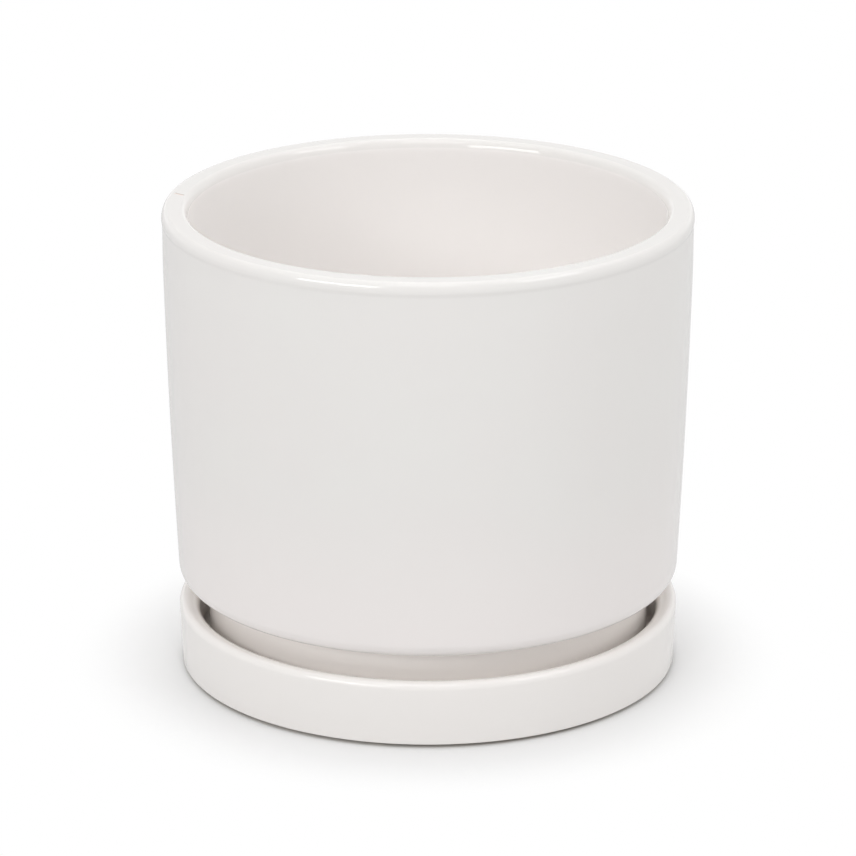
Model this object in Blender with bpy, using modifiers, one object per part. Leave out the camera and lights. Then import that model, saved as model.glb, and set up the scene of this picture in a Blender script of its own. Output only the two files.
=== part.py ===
# Cylinder planter standing in its saucer: two turned ceramic pieces on one upright axis.
# The pot has a thick rounded lip, a slightly bellied wall and a narrow foot that nests in the saucer.
# Metres, +Z up, with the origin on the ground under the middle of the saucer.

import math

import bpy

# The pot
RIM_RADIUS = 0.0775
RIM_HEIGHT = 0.1403
LIP_OUTER_WIDTH = 0.0018
LIP_OUTER_DROP = 0.0031
LIP_INNER_WIDTH = 0.0022
LIP_INNER_DROP = 0.0042
WALL_THICKNESS = 0.0077
WALL_TAPER = 0.0034
WALL_BELLY = 0.00046
LEDGE_HEIGHT = 0.0273
LEDGE_CORNER = 0.0046
LEDGE_FILLET = 0.0015
FOOT_RADIUS = 0.0654
FOOT_RING_WIDTH = 0.0055
FOOT_RECESS = 0.0018
FLOOR_THICKNESS = 0.0058
FLOOR_COVE = 0.007
SHOULDER_RISE = 0.014
DRAIN_RADIUS = 0.007

# The saucer
SAUCER_LIP_RADIUS = 0.0741
SAUCER_BASE_RADIUS = 0.0734
SAUCER_INNER_RADIUS = 0.0680
SAUCER_HEIGHT = 0.0201
SAUCER_LIP_OUTER_WIDTH = 0.0018
SAUCER_LIP_OUTER_DROP = 0.0023
SAUCER_LIP_INNER_DROP = 0.0040
SAUCER_FLOOR_HEIGHT = 0.0060
SAUCER_COVE = 0.0024
SAUCER_BASE_ROUND = 0.0003
SAUCER_RING_RADIUS = 0.068
SAUCER_RING_WIDTH = 0.0055
SAUCER_REVEAL = 0.0009
SAUCER_RECESS = 0.0014

# Shared by both pieces
REST_GAP = 0.0003
EDGE_ROUND = 0.0008
TURN_STEPS = 64
AXIS_MERGE = 0.00001

GLAZE_COLOUR = (0.82, 0.80, 0.77, 1.0)
GLAZE_ROUGHNESS = 0.08
GLAZE_METALLIC = 0.0

POT_BASE_HEIGHT = SAUCER_FLOOR_HEIGHT + REST_GAP
WALL_TOP_HEIGHT = RIM_HEIGHT - LIP_OUTER_DROP
WALL_BOTTOM_HEIGHT = LEDGE_HEIGHT + LEDGE_CORNER
WALL_BOTTOM_RADIUS = RIM_RADIUS - WALL_TAPER


def clear_scene():
    for old in list(bpy.data.objects):
        bpy.data.objects.remove(old)


def new_collection(name):
    collection = bpy.data.collections.new(name)
    bpy.context.scene.collection.children.link(collection)
    return collection


def glaze(name):
    material = bpy.data.materials.new(name)
    material.use_nodes = True
    shader = material.node_tree.nodes["Principled BSDF"]
    shader.inputs["Base Color"].default_value = GLAZE_COLOUR
    shader.inputs["Roughness"].default_value = GLAZE_ROUGHNESS
    shader.inputs["Metallic"].default_value = GLAZE_METALLIC
    return material


def rounded(centre, semi_axes, start, end, segments):
    """Points along part of an ellipse round centre, from one angle to another in degrees."""
    points = []
    for step in range(segments + 1):
        angle = math.radians(start + (end - start) * step / segments)
        radius = centre[0] + semi_axes[0] * math.cos(angle)
        height = centre[1] + semi_axes[1] * math.sin(angle)
        points.append((radius, height))
    return points


def wall_radius(height):
    """Outer radius of the pot's wall: a straight taper with a shallow belly halfway down."""
    drop = (WALL_TOP_HEIGHT - height) / (WALL_TOP_HEIGHT - WALL_BOTTOM_HEIGHT)
    return RIM_RADIUS - WALL_TAPER * drop + WALL_BELLY * 4 * drop * (1 - drop)


def wall(top, bottom, inset, segments):
    """The wall's line from one height to another, moved towards the axis by inset."""
    points = []
    for step in range(segments + 1):
        height = top + (bottom - top) * step / segments
        points.append((wall_radius(height) - inset, height))
    return points


def shoulder(low, high, segments):
    """A soft S-shaped step from the narrow well in the foot to the wide inside above it."""
    points = []
    for step in range(segments + 1):
        share = step / segments
        eased = share * share * (3 - 2 * share)
        radius = low[0] + (high[0] - low[0]) * eased
        height = low[1] + (high[1] - low[1]) * share
        points.append((radius, height))
    return points


def pot_outline():
    """Closed outline: over the lip, down the outside, under the foot, through the drain and up inside."""
    lip_outer = (RIM_RADIUS - LIP_OUTER_WIDTH, WALL_TOP_HEIGHT)
    corner = (WALL_BOTTOM_RADIUS - LEDGE_CORNER, WALL_BOTTOM_HEIGHT)
    ledge_fillet = (FOOT_RADIUS + LEDGE_FILLET, LEDGE_HEIGHT - LEDGE_FILLET)
    foot_outer = (FOOT_RADIUS - EDGE_ROUND, POT_BASE_HEIGHT + EDGE_ROUND)
    ring_inner = (FOOT_RADIUS - FOOT_RING_WIDTH + EDGE_ROUND, POT_BASE_HEIGHT + EDGE_ROUND)
    underside = POT_BASE_HEIGHT + FOOT_RECESS
    recess = (FOOT_RADIUS - FOOT_RING_WIDTH - EDGE_ROUND, underside - EDGE_ROUND)
    drain_low = (DRAIN_RADIUS + EDGE_ROUND, underside + EDGE_ROUND)
    floor = underside + FLOOR_THICKNESS
    drain_high = (DRAIN_RADIUS + EDGE_ROUND, floor - EDGE_ROUND)
    well_radius = FOOT_RADIUS - WALL_THICKNESS
    cove = (well_radius - FLOOR_COVE, floor + FLOOR_COVE)
    shoulder_low = LEDGE_HEIGHT - LEDGE_FILLET
    shoulder_high = shoulder_low + SHOULDER_RISE
    inner_radius = wall_radius(shoulder_high) - WALL_THICKNESS
    inner_top = RIM_HEIGHT - LIP_INNER_DROP
    lip_inner = (wall_radius(inner_top) - WALL_THICKNESS + LIP_INNER_WIDTH, inner_top)

    outline = rounded(lip_outer, (LIP_OUTER_WIDTH, LIP_OUTER_DROP), 90, 0, 5)
    outline += wall(WALL_TOP_HEIGHT, WALL_BOTTOM_HEIGHT, 0, 6)[1:]
    outline += rounded(corner, (LEDGE_CORNER, LEDGE_CORNER), 0, -90, 5)[1:]
    outline += rounded(ledge_fillet, (LEDGE_FILLET, LEDGE_FILLET), 90, 180, 3)
    outline += rounded(foot_outer, (EDGE_ROUND, EDGE_ROUND), 0, -90, 2)
    outline += rounded(ring_inner, (EDGE_ROUND, EDGE_ROUND), -90, -180, 2)
    outline += rounded(recess, (EDGE_ROUND, EDGE_ROUND), 0, 90, 1)
    outline += rounded(drain_low, (EDGE_ROUND, EDGE_ROUND), -90, -180, 1)
    outline += rounded(drain_high, (EDGE_ROUND, EDGE_ROUND), 180, 90, 2)
    outline += rounded(cove, (FLOOR_COVE, FLOOR_COVE), -90, 0, 5)
    outline += shoulder((well_radius, shoulder_low), (inner_radius, shoulder_high), 6)
    outline += wall(shoulder_high, inner_top, WALL_THICKNESS, 5)[1:-1]
    outline += rounded(lip_inner, (LIP_INNER_WIDTH, LIP_INNER_DROP), 180, 90, 5)
    return outline


def saucer_outline():
    """Open outline: from the axis across the floor, up and over the lip, and back to the axis underneath."""
    crest_radius = SAUCER_LIP_RADIUS - SAUCER_LIP_OUTER_WIDTH
    lip_inner = (crest_radius, SAUCER_HEIGHT - SAUCER_LIP_INNER_DROP)
    lip_inner_width = crest_radius - SAUCER_INNER_RADIUS
    lip_outer = (crest_radius, SAUCER_HEIGHT - SAUCER_LIP_OUTER_DROP)
    cove = (SAUCER_INNER_RADIUS - SAUCER_COVE, SAUCER_FLOOR_HEIGHT + SAUCER_COVE)
    base = (SAUCER_BASE_RADIUS - SAUCER_BASE_ROUND, SAUCER_REVEAL + SAUCER_BASE_ROUND)
    ring_inner_radius = SAUCER_RING_RADIUS - SAUCER_RING_WIDTH

    outline = [(0, SAUCER_FLOOR_HEIGHT)]
    outline += rounded(cove, (SAUCER_COVE, SAUCER_COVE), -90, 0, 4)
    outline += rounded(lip_inner, (lip_inner_width, SAUCER_LIP_INNER_DROP), 180, 90, 6)
    outline += rounded(lip_outer, (SAUCER_LIP_OUTER_WIDTH, SAUCER_LIP_OUTER_DROP), 90, 0, 5)[1:]
    outline += rounded(base, (SAUCER_BASE_ROUND, SAUCER_BASE_ROUND), 0, -90, 2)
    outline.append((SAUCER_RING_RADIUS, SAUCER_REVEAL))
    outline.append((SAUCER_RING_RADIUS, 0))
    outline.append((ring_inner_radius, 0))
    outline.append((ring_inner_radius - EDGE_ROUND, SAUCER_RECESS))
    outline.append((0, SAUCER_RECESS))
    return outline


def turned(name, outline, closed, collection, material):
    """A piece turned from an outline of (radius, height) points."""
    vertices = [(radius, 0, height) for radius, height in outline]
    edges = [(i, i + 1) for i in range(len(outline) - 1)]
    if closed:
        edges.append((len(outline) - 1, 0))
    mesh = bpy.data.meshes.new(name)
    mesh.from_pydata(vertices, edges, [])
    mesh.materials.append(material)
    piece = bpy.data.objects.new(name, mesh)
    collection.objects.link(piece)
    screw = piece.modifiers.new("turn", "SCREW")
    screw.steps = TURN_STEPS
    screw.render_steps = TURN_STEPS
    screw.use_smooth_shade = True
    screw.use_merge_vertices = True
    screw.merge_threshold = AXIS_MERGE
    return piece


clear_scene()
planter = new_collection("cylinder_planter")
turned("pot", pot_outline(), True, planter, glaze("pot_white_glaze"))
turned("saucer", saucer_outline(), False, planter, glaze("saucer_white_glaze"))
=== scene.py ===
# Glazed cylinder planter standing in its saucer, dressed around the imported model.
# Metres, Z up, both pieces turned about the Z axis.
import math
import bmesh
import bpy
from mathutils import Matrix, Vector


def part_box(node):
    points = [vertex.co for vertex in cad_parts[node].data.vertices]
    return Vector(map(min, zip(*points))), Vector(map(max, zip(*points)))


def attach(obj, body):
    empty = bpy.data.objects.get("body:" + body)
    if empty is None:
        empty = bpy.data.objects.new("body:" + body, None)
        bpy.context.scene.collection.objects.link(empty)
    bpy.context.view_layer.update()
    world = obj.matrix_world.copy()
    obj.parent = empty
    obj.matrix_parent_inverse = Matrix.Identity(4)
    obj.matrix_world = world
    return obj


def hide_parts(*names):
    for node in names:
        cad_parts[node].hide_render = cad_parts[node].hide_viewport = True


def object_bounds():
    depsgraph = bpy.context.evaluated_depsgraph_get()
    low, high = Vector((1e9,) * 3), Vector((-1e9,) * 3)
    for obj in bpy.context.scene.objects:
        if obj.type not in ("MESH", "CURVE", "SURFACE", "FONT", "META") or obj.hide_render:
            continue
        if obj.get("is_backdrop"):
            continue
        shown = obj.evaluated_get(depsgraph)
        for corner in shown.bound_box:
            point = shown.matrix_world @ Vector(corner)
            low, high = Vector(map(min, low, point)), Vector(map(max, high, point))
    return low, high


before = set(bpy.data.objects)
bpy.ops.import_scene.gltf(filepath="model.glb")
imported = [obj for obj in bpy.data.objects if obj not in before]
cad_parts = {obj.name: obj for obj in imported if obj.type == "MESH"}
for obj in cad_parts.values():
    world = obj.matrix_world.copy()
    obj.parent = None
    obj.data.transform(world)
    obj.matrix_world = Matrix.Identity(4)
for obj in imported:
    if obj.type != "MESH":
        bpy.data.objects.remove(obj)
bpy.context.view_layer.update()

mm = 0.001
near = 0.01 * mm    # how close a point has to be to count as on a ring
seam = 0.001 * mm   # points closer than this are one point
crispFrom = 40      # degrees between two faces, above which their edge stays sharp
potLow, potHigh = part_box("pot")
saucerLow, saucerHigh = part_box("saucer")


# A piece is drawn up ring by ring, as on a potter's wheel.
def centreRing(name, radius, height, points):
    # first ring, left in edit mode with its edge selected
    bpy.ops.object.select_all(action="DESELECT")
    bpy.ops.mesh.primitive_circle_add(vertices=points, radius=radius, location=(0, 0, height))
    bpy.ops.object.transform_apply(location=True, rotation=False, scale=False)
    piece = bpy.context.object
    piece.name = name
    piece.data.name = name
    bpy.ops.object.mode_set(mode="EDIT")
    bpy.ops.mesh.select_mode(type="EDGE")
    bpy.ops.mesh.select_all(action="SELECT")
    return {"piece": piece, "radius": radius, "height": height}


def pull(ring, radius, height):
    # straight on to the next ring
    rise = (0, 0, height - ring["height"])
    bpy.ops.mesh.extrude_region_move(TRANSFORM_OT_translate={"value": rise})
    share = radius / ring["radius"]
    bpy.ops.transform.resize(value=(share, share, 1), center_override=(0, 0, height))
    ring["radius"] = radius
    ring["height"] = height


def roundUp(ring, radius, height, steps):
    # quarter round that leaves upright and arrives level
    startRadius, startHeight = ring["radius"], ring["height"]
    for step in range(1, steps + 1):
        turn = math.pi / 2 * step / steps
        pull(ring, startRadius + (radius - startRadius) * (1 - math.cos(turn)),
             startHeight + (height - startHeight) * math.sin(turn))


def roundOver(ring, radius, height, steps):
    # quarter round that leaves level and arrives upright
    startRadius, startHeight = ring["radius"], ring["height"]
    for step in range(1, steps + 1):
        turn = math.pi / 2 * step / steps
        pull(ring, startRadius + (radius - startRadius) * math.sin(turn),
             startHeight + (height - startHeight) * (1 - math.cos(turn)))


def selectRing(piece, radius, height):
    # picks the edges of the ring at this radius and height
    mesh = bmesh.from_edit_mesh(piece.data)
    for vertex in mesh.verts:
        off = math.hypot(vertex.co.x, vertex.co.y) - radius
        vertex.select = abs(off) < near and abs(vertex.co.z - height) < near
    for edge in mesh.edges:
        edge.select = edge.verts[0].select and edge.verts[1].select
    mesh.select_flush_mode()
    bmesh.update_edit_mesh(piece.data)


def softenRing(piece, radius, height, width, segments):
    # rounds the sharp edge along one ring
    bpy.ops.mesh.select_mode(type="EDGE")
    selectRing(piece, radius, height)
    bpy.ops.mesh.bevel(offset=width, segments=segments, affect="EDGES")


def finishPiece(ring, materials, bareBelow):
    # merges the seams, turns every face outwards and gives what lies below bareBelow the second material
    piece = ring["piece"]
    bpy.ops.mesh.select_all(action="SELECT")
    bpy.ops.mesh.remove_doubles(threshold=seam)
    bpy.ops.mesh.normals_make_consistent(inside=False)
    bpy.ops.object.mode_set(mode="OBJECT")
    bpy.ops.object.select_all(action="DESELECT")
    piece.select_set(True)
    bpy.ops.object.shade_smooth_by_angle(angle=math.radians(crispFrom))
    for material in materials:
        piece.data.materials.append(material)
    for face in piece.data.polygons:
        top = max(piece.data.vertices[i].co.z for i in face.vertices)
        face.material_index = 1 if top < bareBelow else 0
    return piece


def linear(hexColour):
    # sRGB hex to linear
    channels = []
    for place in (1, 3, 5):
        value = int(hexColour[place:place + 2], 16) / 255
        channels.append(value / 12.92 if value <= 0.04045 else ((value + 0.055) / 1.055) ** 2.4)
    return (*channels, 1)


def addNode(tree, kind, values=None, links=None, **settings):
    # one node with its settings, socket values and links
    node = tree.nodes.new(kind)
    for name, value in settings.items():
        setattr(node, name, value)
    for socket, value in (values or {}).items():
        node.inputs[socket].default_value = value
    for socket, source in (links or {}).items():
        tree.links.new(source, node.inputs[socket])
    return node


def newMaterial(name):
    material = bpy.data.materials.new(name)
    material.use_nodes = True
    material.node_tree.nodes.clear()
    return material, material.node_tree


glazeLook = dict(
    roughness=0.03,
    pouredRoughness=0.35,
    ior=1.52,
    cloud=40 * mm, cloudDetail=2,                        # soft clouds of tone
    wave=7 * mm, waveDetail=1, waveDepth=0.012 * mm,     # slow waves where it ran
    peel=1.5 * mm, peelDetail=2, peelDepth=0.0012 * mm,  # fine orange peel
)


def reach(tree, place, along, span):
    # 0 below the span and 1 above it, measured from the origin along the given axes
    part = addNode(tree, "ShaderNodeVectorMath", {1: along}, {0: place}, operation="MULTIPLY")
    far = addNode(tree, "ShaderNodeVectorMath", None, {0: part.outputs["Vector"]}, operation="LENGTH")
    rise = addNode(tree, "ShaderNodeMapRange", {"From Min": span[0], "From Max": span[1]},
                   {"Value": far.outputs["Value"]}, interpolation_type="SMOOTHSTEP")
    return rise.outputs["Result"]


# axes to measure along: height, and distance from the axis that the pieces are turned about
upwards = (0, 0, 1)
outwards = (1, 1, 0)


def glazedStoneware(name, plan, thinAndPaintedLightAlong):
    # Glazed stoneware: dipped in white gloss glaze and fired.
    # A glassy skin over a matte body gives sharp small highlights on a soft, even white.
    # Below a span given in the plan, measured along the given axes, it turns warmer, for thinner glaze; on
    # the pot's foot it is also painted lighter there, painted light in the shaded gap.
    look = glazeLook
    material, tree = newMaterial(name)
    place = addNode(tree, "ShaderNodeTexCoord").outputs["Object"]
    clouds = addNode(tree, "ShaderNodeTexNoise",
                     {"Scale": 1 / look["cloud"], "Detail": look["cloudDetail"]}, {"Vector": place})
    tone = addNode(tree, "ShaderNodeMix", {"A": linear(plan["white"]), "B": linear(plan["warm"])},
                   {"Factor": clouds.outputs["Fac"]}, data_type="RGBA")
    # below the span: warmer for thinner glaze, and on the pot painted lighter, painted light lifting the
    # shade round the foot
    glaze = addNode(tree, "ShaderNodeMix", {"A": linear(plan["thinAndPaintedLight"])},
                    {"Factor": reach(tree, place, thinAndPaintedLightAlong, plan["thinAndPaintedLightEnds"]),
                     "B": tone.outputs["Result"]}, data_type="RGBA")
    waves = addNode(tree, "ShaderNodeTexNoise",
                    {"Scale": 1 / look["wave"], "Detail": look["waveDetail"]}, {"Vector": place})
    slow = addNode(tree, "ShaderNodeBump", {"Distance": look["waveDepth"]},
                   {"Height": waves.outputs["Fac"]})
    peel = addNode(tree, "ShaderNodeTexNoise",
                   {"Scale": 1 / look["peel"], "Detail": look["peelDetail"]}, {"Vector": place})
    fine = addNode(tree, "ShaderNodeBump", {"Distance": look["peelDepth"]},
                   {"Height": peel.outputs["Fac"], "Normal": slow.outputs["Normal"]})
    shader = addNode(tree, "ShaderNodeBsdfPrincipled", {"Roughness": look["roughness"], "IOR": look["ior"]},
                     {"Base Color": glaze.outputs["Result"], "Normal": fine.outputs["Normal"]})
    addNode(tree, "ShaderNodeOutputMaterial", None, {"Surface": shader.outputs["BSDF"]})
    return material, tree, shader


biscuitLook = dict(light="#D9CFC0", dark="#C9BCA9", roughness=0.85, ior=1.5,
                   grain=0.8 * mm, grainDetail=3, grainDepth=0.02 * mm)


def bareBiscuit(name):
    # Unglazed stoneware: the ring wiped clean of glaze so that it doesn't stick to the kiln shelf.
    # Matte cream with a fine sandy grain.
    look = biscuitLook
    material, tree = newMaterial(name)
    place = addNode(tree, "ShaderNodeTexCoord").outputs["Object"]
    grain = addNode(tree, "ShaderNodeTexNoise",
                    {"Scale": 1 / look["grain"], "Detail": look["grainDetail"]}, {"Vector": place})
    tone = addNode(tree, "ShaderNodeMix", {"A": linear(look["light"]), "B": linear(look["dark"])},
                   {"Factor": grain.outputs["Fac"]}, data_type="RGBA")
    bump = addNode(tree, "ShaderNodeBump", {"Distance": look["grainDepth"]},
                   {"Height": grain.outputs["Fac"]})
    shader = addNode(tree, "ShaderNodeBsdfPrincipled", {"Roughness": look["roughness"], "IOR": look["ior"]},
                     {"Base Color": tone.outputs["Result"], "Normal": bump.outputs["Normal"]})
    addNode(tree, "ShaderNodeOutputMaterial", None, {"Surface": shader.outputs["BSDF"]})
    return material


biscuit = bareBiscuit("unglazed_biscuit")


potPlan = dict(
    points=256,
    lipOuterWidth=1.8 * mm, lipOuterDrop=3.1 * mm, lipInnerWidth=2.2 * mm, lipInnerDrop=4.2 * mm,
    wallThickness=7.7 * mm, wallTaper=3.4 * mm, wallBelly=0.46 * mm,
    neckDepth=0.2 * mm, neckLength=1.3 * mm, neckFade=14 * mm,  # faint waist under the lip
    ledgeHeight=27.3 * mm, ledgeCorner=4.6 * mm, ledgeFillet=1.5 * mm,
    footRadius=65.4 * mm, footRingWidth=5.5 * mm, footRecess=1.8 * mm, edgeRound=0.8 * mm,
    floorThickness=5.8 * mm, floorCove=7 * mm, shoulderRise=14 * mm, drainRadius=7 * mm,
    # rings in each stretch
    lipSteps=14, wallSteps=24, neckSteps=(8, 12), cornerSteps=12, filletSteps=6,
    shoulderSteps=16, coveSteps=12, edgeSteps=5,
    # zircon-opacified white over a cream body, dipped outside: thinner, warm and painted lighter round the
    # foot, painted light in the gap; a painted glow of warm bounced light above it; thickest, least glossy
    # inside from pouring, and painted lighter there, painted light in the hollow
    white="#F6F5F2", warm="#F6F2F0", thinAndPaintedLight="#FEF9F5", paintedBounceGlow="#FBF6F4", pouredAndPaintedLight="#FDFAF8",
    # there is no glaze up to bareHeight; a pair is the height or the radius where a change starts and ends
    bareHeight=1 * mm, thinAndPaintedLightEnds=(26 * mm, 30 * mm), paintedBounceGlowBelow=(30 * mm, 80 * mm),
    pouredAndPaintedLightWithin=(69.7 * mm, 69.85 * mm), pouredAndPaintedLightAbove=(30 * mm, 36 * mm),
    wellWithin=(60 * mm, 64 * mm), wellAbove=(9 * mm, 12 * mm),
)


def eased(share):
    share = min(max(share, 0), 1)
    return share * share * (3 - 2 * share)


def wallRadius(height):
    # straight taper with a shallow belly halfway down and a faint neck under the lip
    plan = potPlan
    top = potHigh.z - plan["lipOuterDrop"]
    bottom = plan["ledgeHeight"] + plan["ledgeCorner"]
    drop = (top - height) / (top - bottom)
    belly = 4 * drop * (1 - drop)
    below = top - height
    neck = eased(below / plan["neckLength"]) * (1 - eased((below - plan["neckLength"]) / plan["neckFade"]))
    return potHigh.x - plan["wallTaper"] * drop + plan["wallBelly"] * belly - plan["neckDepth"] * neck


def followWall(ring, height, inset, steps):
    # along the wall to a height, inset from its outside
    start = ring["height"]
    for step in range(1, steps + 1):
        level = start + (height - start) * step / steps
        pull(ring, wallRadius(level) - inset, level)


# a short hairline in the glaze that crosses the lip on the left, with a pale halo along one side
hairline = dict(
    middle=(-72.6 * mm, 10.5 * mm, 0), turn=-40, length=3.8 * mm,  # turn in degrees
    above=(138.4 * mm, 139.2 * mm),                       # it fades in between these heights
    width=0.3 * mm, line="#B8A89B", haloWidth=0.9 * mm, halo="#FBEAE2",
    full=0.25, gone=0.75,                                 # from its middle, in widths
    wander=2.5 * mm, wanderDetail=1, stray=0.9 * mm,      # length and width of its bends
)


def drawHairline(tree, place, glaze):
    look = hairline
    turned = addNode(tree, "ShaderNodeMapping",
                     {"Location": look["middle"], "Rotation": (0, 0, math.radians(look["turn"]))},
                     {"Vector": place}, vector_type="TEXTURE")
    wander = addNode(tree, "ShaderNodeTexNoise",
                     {"Scale": 1 / look["wander"], "Detail": look["wanderDetail"]}, {"Vector": place})
    bent = addNode(tree, "ShaderNodeMath", {1: look["stray"], 2: -look["stray"] / 2},
                   {0: wander.outputs["Fac"]}, operation="MULTIPLY_ADD")
    parts = addNode(tree, "ShaderNodeSeparateXYZ", None, {"Vector": turned.outputs["Vector"]})
    across = addNode(tree, "ShaderNodeMath", None, {0: parts.outputs["Y"], 1: bent.outputs["Value"]})
    along = addNode(tree, "ShaderNodeMath", None, {0: parts.outputs["X"]}, operation="ABSOLUTE")
    ends = addNode(tree, "ShaderNodeMapRange",
                   {"From Min": look["length"] / 2, "From Max": look["length"] / 2 - look["width"]},
                   {"Value": along.outputs["Value"]})
    onLip = addNode(tree, "ShaderNodeMath", None,
                    {0: ends.outputs["Result"], 1: reach(tree, place, upwards, look["above"])},
                    operation="MULTIPLY")
    halo = (look["halo"], look["haloWidth"], look["haloWidth"] / 2)
    line = (look["line"], look["width"], 0)
    for colour, width, shift in (halo, line):
        off = addNode(tree, "ShaderNodeMath", {1: shift}, {0: across.outputs["Value"]})
        size = addNode(tree, "ShaderNodeMath", None, {0: off.outputs["Value"]}, operation="ABSOLUTE")
        close = addNode(tree, "ShaderNodeMapRange",
                        {"From Min": width * look["gone"], "From Max": width * look["full"]},
                        {"Value": size.outputs["Value"]})
        share = addNode(tree, "ShaderNodeMath", None,
                        {0: close.outputs["Result"], 1: onLip.outputs["Value"]}, operation="MULTIPLY")
        glaze = addNode(tree, "ShaderNodeMix", {"B": linear(colour)},
                        {"Factor": share.outputs["Value"], "A": glaze}, data_type="RGBA").outputs["Result"]
    return glaze


def potGlaze():
    plan = potPlan
    material, tree, shader = glazedStoneware("glazed_stoneware_pot", plan, upwards)
    place = addNode(tree, "ShaderNodeTexCoord").outputs["Object"]

    def zone(along, within, above):
        # 1 where the glaze lies within one span along the given axes and above the other in height
        inside = addNode(tree, "ShaderNodeMath", {0: 1}, {1: reach(tree, place, along, within)},
                         operation="SUBTRACT")
        return addNode(tree, "ShaderNodeMath", None,
                       {0: inside.outputs["Value"], 1: reach(tree, place, upwards, above)},
                       operation="MULTIPLY").outputs["Value"]

    # 1 inside the pot and in its well: rougher glaze from pouring, and painted lighter, painted light in
    #                                   the hollow
    pouredAndPaintedLight = addNode(tree, "ShaderNodeMath", None,
                     {0: zone(outwards, plan["pouredAndPaintedLightWithin"], plan["pouredAndPaintedLightAbove"]),
                      1: zone(outwards, plan["wellWithin"], plan["wellAbove"])},
                     operation="MAXIMUM").outputs["Value"]
    dippedWithPaintedFootLight = shader.inputs["Base Color"].links[0].from_socket
    # painted warmer and lighter from the foot up, fading out between 30 and 80 mm: a painted glow of warm
    # bounced light
    withPaintedBounceGlow = addNode(tree, "ShaderNodeMix", {"B": linear(plan["paintedBounceGlow"])},
                      {"Factor": zone(upwards, plan["paintedBounceGlowBelow"], plan["thinAndPaintedLightEnds"]), "A": dippedWithPaintedFootLight},
                      data_type="RGBA")
    # inside painted lighter: painted light in the hollow
    glaze = addNode(tree, "ShaderNodeMix", {"B": linear(plan["pouredAndPaintedLight"])},
                    {"Factor": pouredAndPaintedLight, "A": withPaintedBounceGlow.outputs["Result"]}, data_type="RGBA")
    tree.links.new(drawHairline(tree, place, glaze.outputs["Result"]), shader.inputs["Base Color"])
    roughness = addNode(tree, "ShaderNodeMapRange",
                        {"To Min": glazeLook["roughness"], "To Max": glazeLook["pouredRoughness"]},
                        {"Value": pouredAndPaintedLight})
    tree.links.new(roughness.outputs["Result"], shader.inputs["Roughness"])
    return material


def throwPot():
    plan = potPlan
    base = potLow.z
    underside = base + plan["footRecess"]
    floor = underside + plan["floorThickness"]
    ringInner = plan["footRadius"] - plan["footRingWidth"]
    well = plan["footRadius"] - plan["wallThickness"]
    ring = centreRing("glazed_pot", plan["drainRadius"], underside, plan["points"])

    # underneath
    pull(ring, ringInner, underside)
    pull(ring, ringInner, base)
    pull(ring, plan["footRadius"], base)

    # foot and ledge
    pull(ring, plan["footRadius"], plan["ledgeHeight"] - plan["ledgeFillet"])
    roundUp(ring, plan["footRadius"] + plan["ledgeFillet"], plan["ledgeHeight"], plan["filletSteps"])
    ledgeTop = plan["ledgeHeight"] + plan["ledgeCorner"]
    pull(ring, wallRadius(ledgeTop) - plan["ledgeCorner"], plan["ledgeHeight"])
    roundOver(ring, wallRadius(ledgeTop), ledgeTop, plan["cornerSteps"])

    # wall, neck with its rings closer towards the lip, and lip
    lipStart = potHigh.z - plan["lipOuterDrop"]
    followWall(ring, lipStart - plan["neckFade"], 0, plan["wallSteps"])
    followWall(ring, lipStart - 2 * plan["neckLength"], 0, plan["neckSteps"][0])
    followWall(ring, lipStart, 0, plan["neckSteps"][1])
    roundUp(ring, potHigh.x - plan["lipOuterWidth"], potHigh.z, plan["lipSteps"])
    lipBottom = potHigh.z - plan["lipInnerDrop"]
    inner = wallRadius(lipBottom) - plan["wallThickness"]
    pull(ring, inner + plan["lipInnerWidth"], potHigh.z)
    roundOver(ring, inner, lipBottom, plan["lipSteps"])

    # inside: wall, soft shoulder, well and floor
    shoulderLow = plan["ledgeHeight"] - plan["ledgeFillet"]
    shoulderHigh = shoulderLow + plan["shoulderRise"]
    followWall(ring, shoulderHigh, plan["wallThickness"], plan["wallSteps"])
    wide = ring["radius"]
    for step in range(1, plan["shoulderSteps"] + 1):
        share = step / plan["shoulderSteps"]
        pull(ring, wide + (well - wide) * eased(share), shoulderHigh - plan["shoulderRise"] * share)
    pull(ring, well, floor + plan["floorCove"])
    roundUp(ring, well - plan["floorCove"], floor, plan["coveSteps"])
    pull(ring, plan["drainRadius"], floor)
    pull(ring, plan["drainRadius"], underside)  # meets the first ring
    bpy.ops.mesh.select_all(action="SELECT")
    bpy.ops.mesh.remove_doubles(threshold=near)

    # small rounds where the foot and the drain hole are fettled
    for radius, height in ((ringInner, underside), (ringInner, base), (plan["footRadius"], base),
                           (plan["drainRadius"], floor), (plan["drainRadius"], underside)):
        softenRing(ring["piece"], radius, height, plan["edgeRound"], plan["edgeSteps"])
    return finishPiece(ring, (potGlaze(), biscuit), base + plan["bareHeight"])


pot = throwPot()
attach(pot, "root")
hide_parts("pot")
print("pot thrown:", len(pot.data.polygons), "faces")


saucerPlan = dict(
    points=256,
    lipOuterWidth=1.8 * mm, lipOuterDrop=2.3 * mm, lipInnerDrop=4 * mm,
    baseRadius=73.4 * mm, baseRound=0.3 * mm, innerRadius=68 * mm, floorHeight=6 * mm, cove=2.4 * mm,
    ringRadius=68 * mm, ringWidth=5.5 * mm, edgeRound=0.3 * mm, centre=10 * mm,
    reveal=1.1 * mm, recess=1.4 * mm,  # heights of the step outside the foot ring and the hollow inside it
    lipSteps=14, baseSteps=8, coveSteps=8, edgeSteps=3,
    # the same glaze but painted lighter than the pot's, painted light on the saucer; warmer inside where it
    # is thinner, with the foot ring and the step outside it left bare
    white="#FDFAF7", warm="#FDF9F6", thinAndPaintedLight="#FEF9F5",
    bareHeight=1.15 * mm, thinAndPaintedLightEnds=(66.5 * mm, 70.5 * mm),
)


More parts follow.
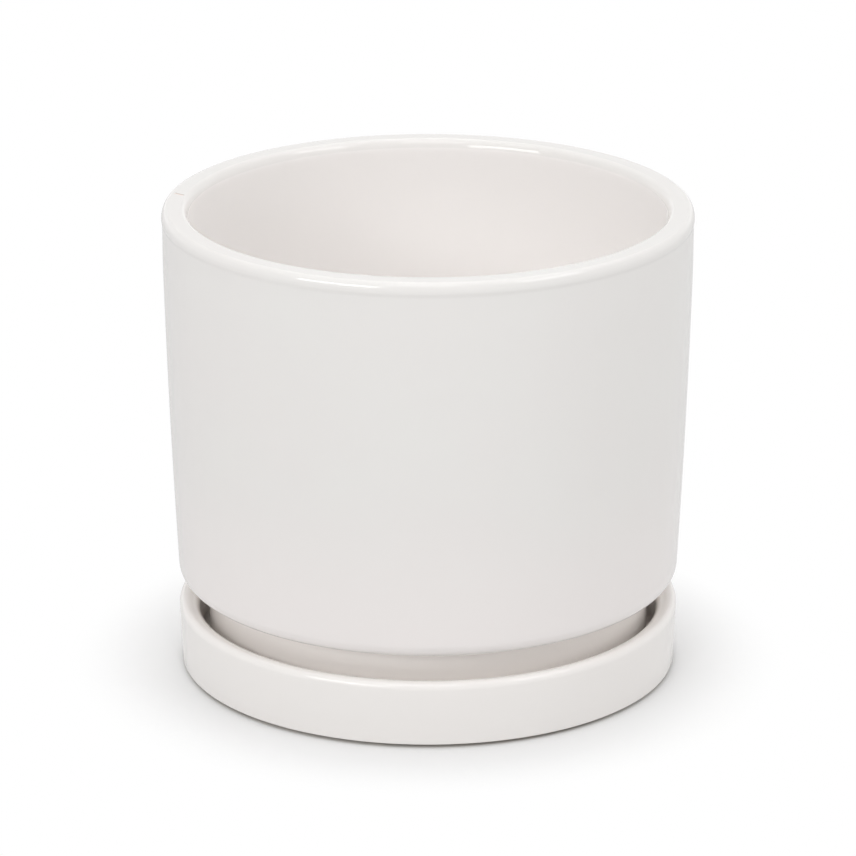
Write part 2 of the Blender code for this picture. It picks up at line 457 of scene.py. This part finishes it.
def throwSaucer():
    plan = saucerPlan
    base = saucerLow.z
    rim = saucerHigh.x
    ringInner = plan["ringRadius"] - plan["ringWidth"]
    ring = centreRing("glazed_saucer", plan["centre"], plan["recess"], plan["points"])

    # underneath
    pull(ring, ringInner, plan["recess"])
    pull(ring, ringInner, base)
    pull(ring, plan["ringRadius"], base)
    pull(ring, plan["ringRadius"], plan["reveal"])
    pull(ring, plan["baseRadius"] - plan["baseRound"], plan["reveal"])
    roundOver(ring, plan["baseRadius"], plan["reveal"] + plan["baseRound"], plan["baseSteps"])

    # wall, round lip that slopes more gently inwards, inside and floor
    pull(ring, rim, saucerHigh.z - plan["lipOuterDrop"])
    roundUp(ring, rim - plan["lipOuterWidth"], saucerHigh.z, plan["lipSteps"])
    roundOver(ring, plan["innerRadius"], saucerHigh.z - plan["lipInnerDrop"], plan["lipSteps"])
    pull(ring, plan["innerRadius"], plan["floorHeight"] + plan["cove"])
    roundUp(ring, plan["innerRadius"] - plan["cove"], plan["floorHeight"], plan["coveSteps"])
    pull(ring, plan["centre"], plan["floorHeight"])

    # both middles are closed to a point
    bpy.ops.mesh.extrude_region_move()
    bpy.ops.mesh.merge(type="CENTER")
    piece = ring["piece"]
    bpy.ops.mesh.select_mode(type="EDGE")
    selectRing(piece, plan["centre"], plan["recess"])
    bpy.ops.mesh.extrude_region_move()
    bpy.ops.mesh.merge(type="CENTER")

    for radius, height in ((ringInner, plan["recess"]), (ringInner, base), (plan["ringRadius"], base)):
        softenRing(piece, radius, height, plan["edgeRound"], plan["edgeSteps"])
    glaze = glazedStoneware("glazed_stoneware_saucer", plan, outwards)[0]
    return finishPiece(ring, (glaze, biscuit), plan["bareHeight"])


saucer = throwSaucer()
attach(saucer, "root")
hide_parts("saucer")
print("saucer thrown:", len(saucer.data.polygons), "faces")


# In metres: the paper's size, and how far from its middle it starts to glow and is all white, like the
# backdrop. White is its colour to the eye, and bounce the one that bounced light meets.
floorLook = dict(size=8.0, fadeFrom=0.068, fadeTo=0.108, white="#F1F1F1", bounce="#D7D7D7")

# Brightness of the white surroundings as the glaze mirrors them, where 1 is white: the floor, the horizon,
# the backdrop above it and overhead. Angles of elevation, in degrees, say where one turns into the next.
mirrorLook = dict(
    floor=0.74,
    horizon=1.0, horizonTo=(6, 16),
    backdrop=0.70, backdropTo=(40, 62),
    overhead=1.1,
)
pureWhite = (1, 1, 1, 1)


def seenDirectly(tree):
    # 1 for what the eye sees, straight or mirrored in the glaze, and 0 for bounced light; then how bright
    # white is, 1 seen straight and the floor's brightness when mirrored
    path = addNode(tree, "ShaderNodeLightPath")
    either = addNode(tree, "ShaderNodeMath", None,
                     {0: path.outputs["Is Camera Ray"], 1: path.outputs["Is Glossy Ray"]},
                     operation="MAXIMUM")
    seen = addNode(tree, "ShaderNodeMath", None,
                   {0: either.outputs["Value"], 1: path.outputs["Is Transmission Ray"]},
                   operation="MAXIMUM")
    level = addNode(tree, "ShaderNodeMix", {"A": mirrorLook["floor"], "B": 1},
                    {"Factor": path.outputs["Is Camera Ray"]}, data_type="FLOAT")
    return seen.outputs["Value"], level


def layFloor():
    # Matte white paper: uncoated, so it has no gloss and only takes a soft shadow.
    look = floorLook
    bpy.ops.object.select_all(action="DESELECT")
    bpy.ops.mesh.primitive_plane_add(size=look["size"], location=(0, 0, 0))
    floor = bpy.context.object
    floor.name = "paper_floor"
    material, tree = newMaterial("matte_white_paper")
    seen, whiteLevel = seenDirectly(tree)
    place = addNode(tree, "ShaderNodeTexCoord").outputs["Object"]
    away = addNode(tree, "ShaderNodeVectorMath", None, {0: place}, operation="LENGTH")
    fade = addNode(tree, "ShaderNodeMapRange", {"From Min": look["fadeFrom"], "From Max": look["fadeTo"]},
                   {"Value": away.outputs["Value"]}, interpolation_type="SMOOTHSTEP")
    share = addNode(tree, "ShaderNodeMath", None, {0: fade.outputs["Result"], 1: seen},
                    operation="MULTIPLY")
    tone = addNode(tree, "ShaderNodeMix", {"A": linear(look["bounce"]), "B": linear(look["white"])},
                   {"Factor": seen}, data_type="RGBA")
    paper = addNode(tree, "ShaderNodeBsdfDiffuse", None, {"Color": tone.outputs["Result"]})
    white = addNode(tree, "ShaderNodeEmission", {"Color": pureWhite},
                    {"Strength": whiteLevel.outputs["Result"]})
    mix = addNode(tree, "ShaderNodeMixShader", None,
                  {0: share.outputs["Value"], 1: paper.outputs["BSDF"], 2: white.outputs["Emission"]})
    addNode(tree, "ShaderNodeOutputMaterial", None, {"Surface": mix.outputs["Shader"]})
    floor.data.materials.append(material)
    floor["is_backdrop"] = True


# Brightness of a round light tent, where 1 is white: its hem, sides and slope each have a value to the
# right, back, left and front. Angles of elevation, in degrees, say where one turns into the next.
tentLook = dict(
    hem=(1.35, 1.63, 0.75, 0), hemTo=(8, 18),
    sides=(0.50, 1.16, 0, 0.53), sidesTo=(32, 48),
    slope=(0.40, 0.50, 1.05, 1.07), slopeTo=(58, 74),
    top=1.14,
)


def climb(tree, height, span):
    # 0 below the lower angle and 1 above the higher one
    low, high = (math.sin(math.radians(angle)) for angle in span)
    rise = addNode(tree, "ShaderNodeMapRange", {"From Min": low, "From Max": high}, {"Value": height},
                   interpolation_type="SMOOTHSTEP")
    return rise.outputs["Result"]


def paintTent():
    # bounced light comes from the tent, and the eye and the glaze see the white backdrop instead
    world = bpy.data.worlds.new("light_tent")
    bpy.context.scene.world = world
    world.use_nodes = True
    tree = world.node_tree
    tree.nodes.clear()
    toward = addNode(tree, "ShaderNodeTexCoord").outputs["Generated"]
    height = addNode(tree, "ShaderNodeSeparateXYZ", None, {"Vector": toward}).outputs["Z"]
    flat = addNode(tree, "ShaderNodeVectorMath", {1: outwards}, {0: toward}, operation="MULTIPLY")
    heading = addNode(tree, "ShaderNodeVectorMath", None, {0: flat.outputs["Vector"]},
                      operation="NORMALIZE")

    # how far a direction leans right and back, and left and front, squared so that they add up to 1
    leans = []
    for sign in (1, -1):
        turned = addNode(tree, "ShaderNodeVectorMath", {1: (sign, sign, 0)}, {0: heading.outputs["Vector"]},
                         operation="MULTIPLY")
        lean = addNode(tree, "ShaderNodeVectorMath", {1: (0, 0, 0)}, {0: turned.outputs["Vector"]},
                       operation="MAXIMUM").outputs["Vector"]
        leans.append(addNode(tree, "ShaderNodeVectorMath", None, {0: lean, 1: lean},
                             operation="MULTIPLY").outputs["Vector"])

    bands = []
    for band in ("hem", "sides", "slope"):
        right, back, left, front = tentLook[band]
        glow = []
        for lean, pair in zip(leans, ((right, back, 0), (left, front, 0))):
            part = addNode(tree, "ShaderNodeVectorMath", {1: pair}, {0: lean}, operation="DOT_PRODUCT")
            glow.append(part.outputs["Value"])
        bands.append(addNode(tree, "ShaderNodeMath", None, {0: glow[0], 1: glow[1]}).outputs["Value"])
    low = addNode(tree, "ShaderNodeMix", None,
                  {"Factor": climb(tree, height, tentLook["hemTo"]), "A": bands[0], "B": bands[1]},
                  data_type="FLOAT").outputs["Result"]
    middle = addNode(tree, "ShaderNodeMix", None,
                     {"Factor": climb(tree, height, tentLook["sidesTo"]), "A": low, "B": bands[2]},
                     data_type="FLOAT").outputs["Result"]
    whole = addNode(tree, "ShaderNodeMix", {"B": tentLook["top"]},
                    {"Factor": climb(tree, height, tentLook["slopeTo"]), "A": middle},
                    data_type="FLOAT").outputs["Result"]
    tent = addNode(tree, "ShaderNodeBackground", {"Color": pureWhite}, {"Strength": whole})

    seen, whiteLevel = seenDirectly(tree)
    around = addNode(tree, "ShaderNodeMix", {"A": mirrorLook["horizon"], "B": mirrorLook["backdrop"]},
                     {"Factor": climb(tree, height, mirrorLook["horizonTo"])}, data_type="FLOAT")
    mirrored = addNode(tree, "ShaderNodeMix", {"B": mirrorLook["overhead"]},
                       {"Factor": climb(tree, height, mirrorLook["backdropTo"]),
                        "A": around.outputs["Result"]}, data_type="FLOAT")
    tree.links.new(mirrored.outputs["Result"], whiteLevel.inputs["A"])
    backdrop = addNode(tree, "ShaderNodeBackground", {"Color": pureWhite},
                       {"Strength": whiteLevel.outputs["Result"]})
    mix = addNode(tree, "ShaderNodeMixShader", None,
                  {0: seen, 1: tent.outputs["Background"], 2: backdrop.outputs["Background"]})
    addNode(tree, "ShaderNodeOutputWorld", None, {"Surface": mix.outputs["Shader"]})


# place, width and height in metres; glow is the brightness of the cloth, where 1 is white
lamps = dict(
    leftSoftbox=dict(place=(-1.40, -1.73, 1.04), size=(1.5, 0.55), glow=5.2),
    rightSoftbox=dict(place=(1.65, -0.92, 1.62), size=(1.15, 0.5), glow=3.7),
    frontPanel=dict(place=(-0.10, -1.55, 1.90), size=(1.1, 0.3), glow=3.3),
    topPanel=dict(place=(-0.05, 0.62, 2.46), size=(0.7, 0.7), glow=2.2),
)


def hangLamp(name, lamp):
    bpy.ops.object.select_all(action="DESELECT")
    bpy.ops.object.light_add(type="AREA", location=lamp["place"])
    light = bpy.context.object
    light.name = name
    light.data.shape = "RECTANGLE"
    width, height = lamp["size"]
    light.data.size = width
    light.data.size_y = height
    light.data.energy = lamp["glow"] * math.pi * width * height  # brightness 1 is pi watts a square metre
    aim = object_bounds()[0].lerp(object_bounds()[1], 0.5) - light.location
    light.rotation_euler = aim.to_track_quat("-Z", "Y").to_euler()
    light.visible_camera = False


layFloor()
paintTent()
for name, lamp in lamps.items():
    hangLamp(name, lamp)
print("floor laid, tent painted and lamps hung:", len(lamps))


# back, height and farEnd in metres, down in degrees, lens and sensor in millimetres
cameraLook = dict(back=1.3175, height=0.5287, down=19.14, lens=198.6, sensor=36, farEnd=50)


def placeCamera():
    look = cameraLook
    bpy.ops.object.camera_add(location=(0, -look["back"], look["height"]),
                              rotation=(math.radians(90 - look["down"]), 0, 0))
    camera = bpy.context.object
    camera.data.lens = look["lens"]
    camera.data.sensor_width = look["sensor"]
    camera.data.clip_end = look["farEnd"]
    bpy.context.scene.camera = camera


placeCamera()
bpy.context.scene.view_settings.view_transform = "Standard"
print("camera placed")
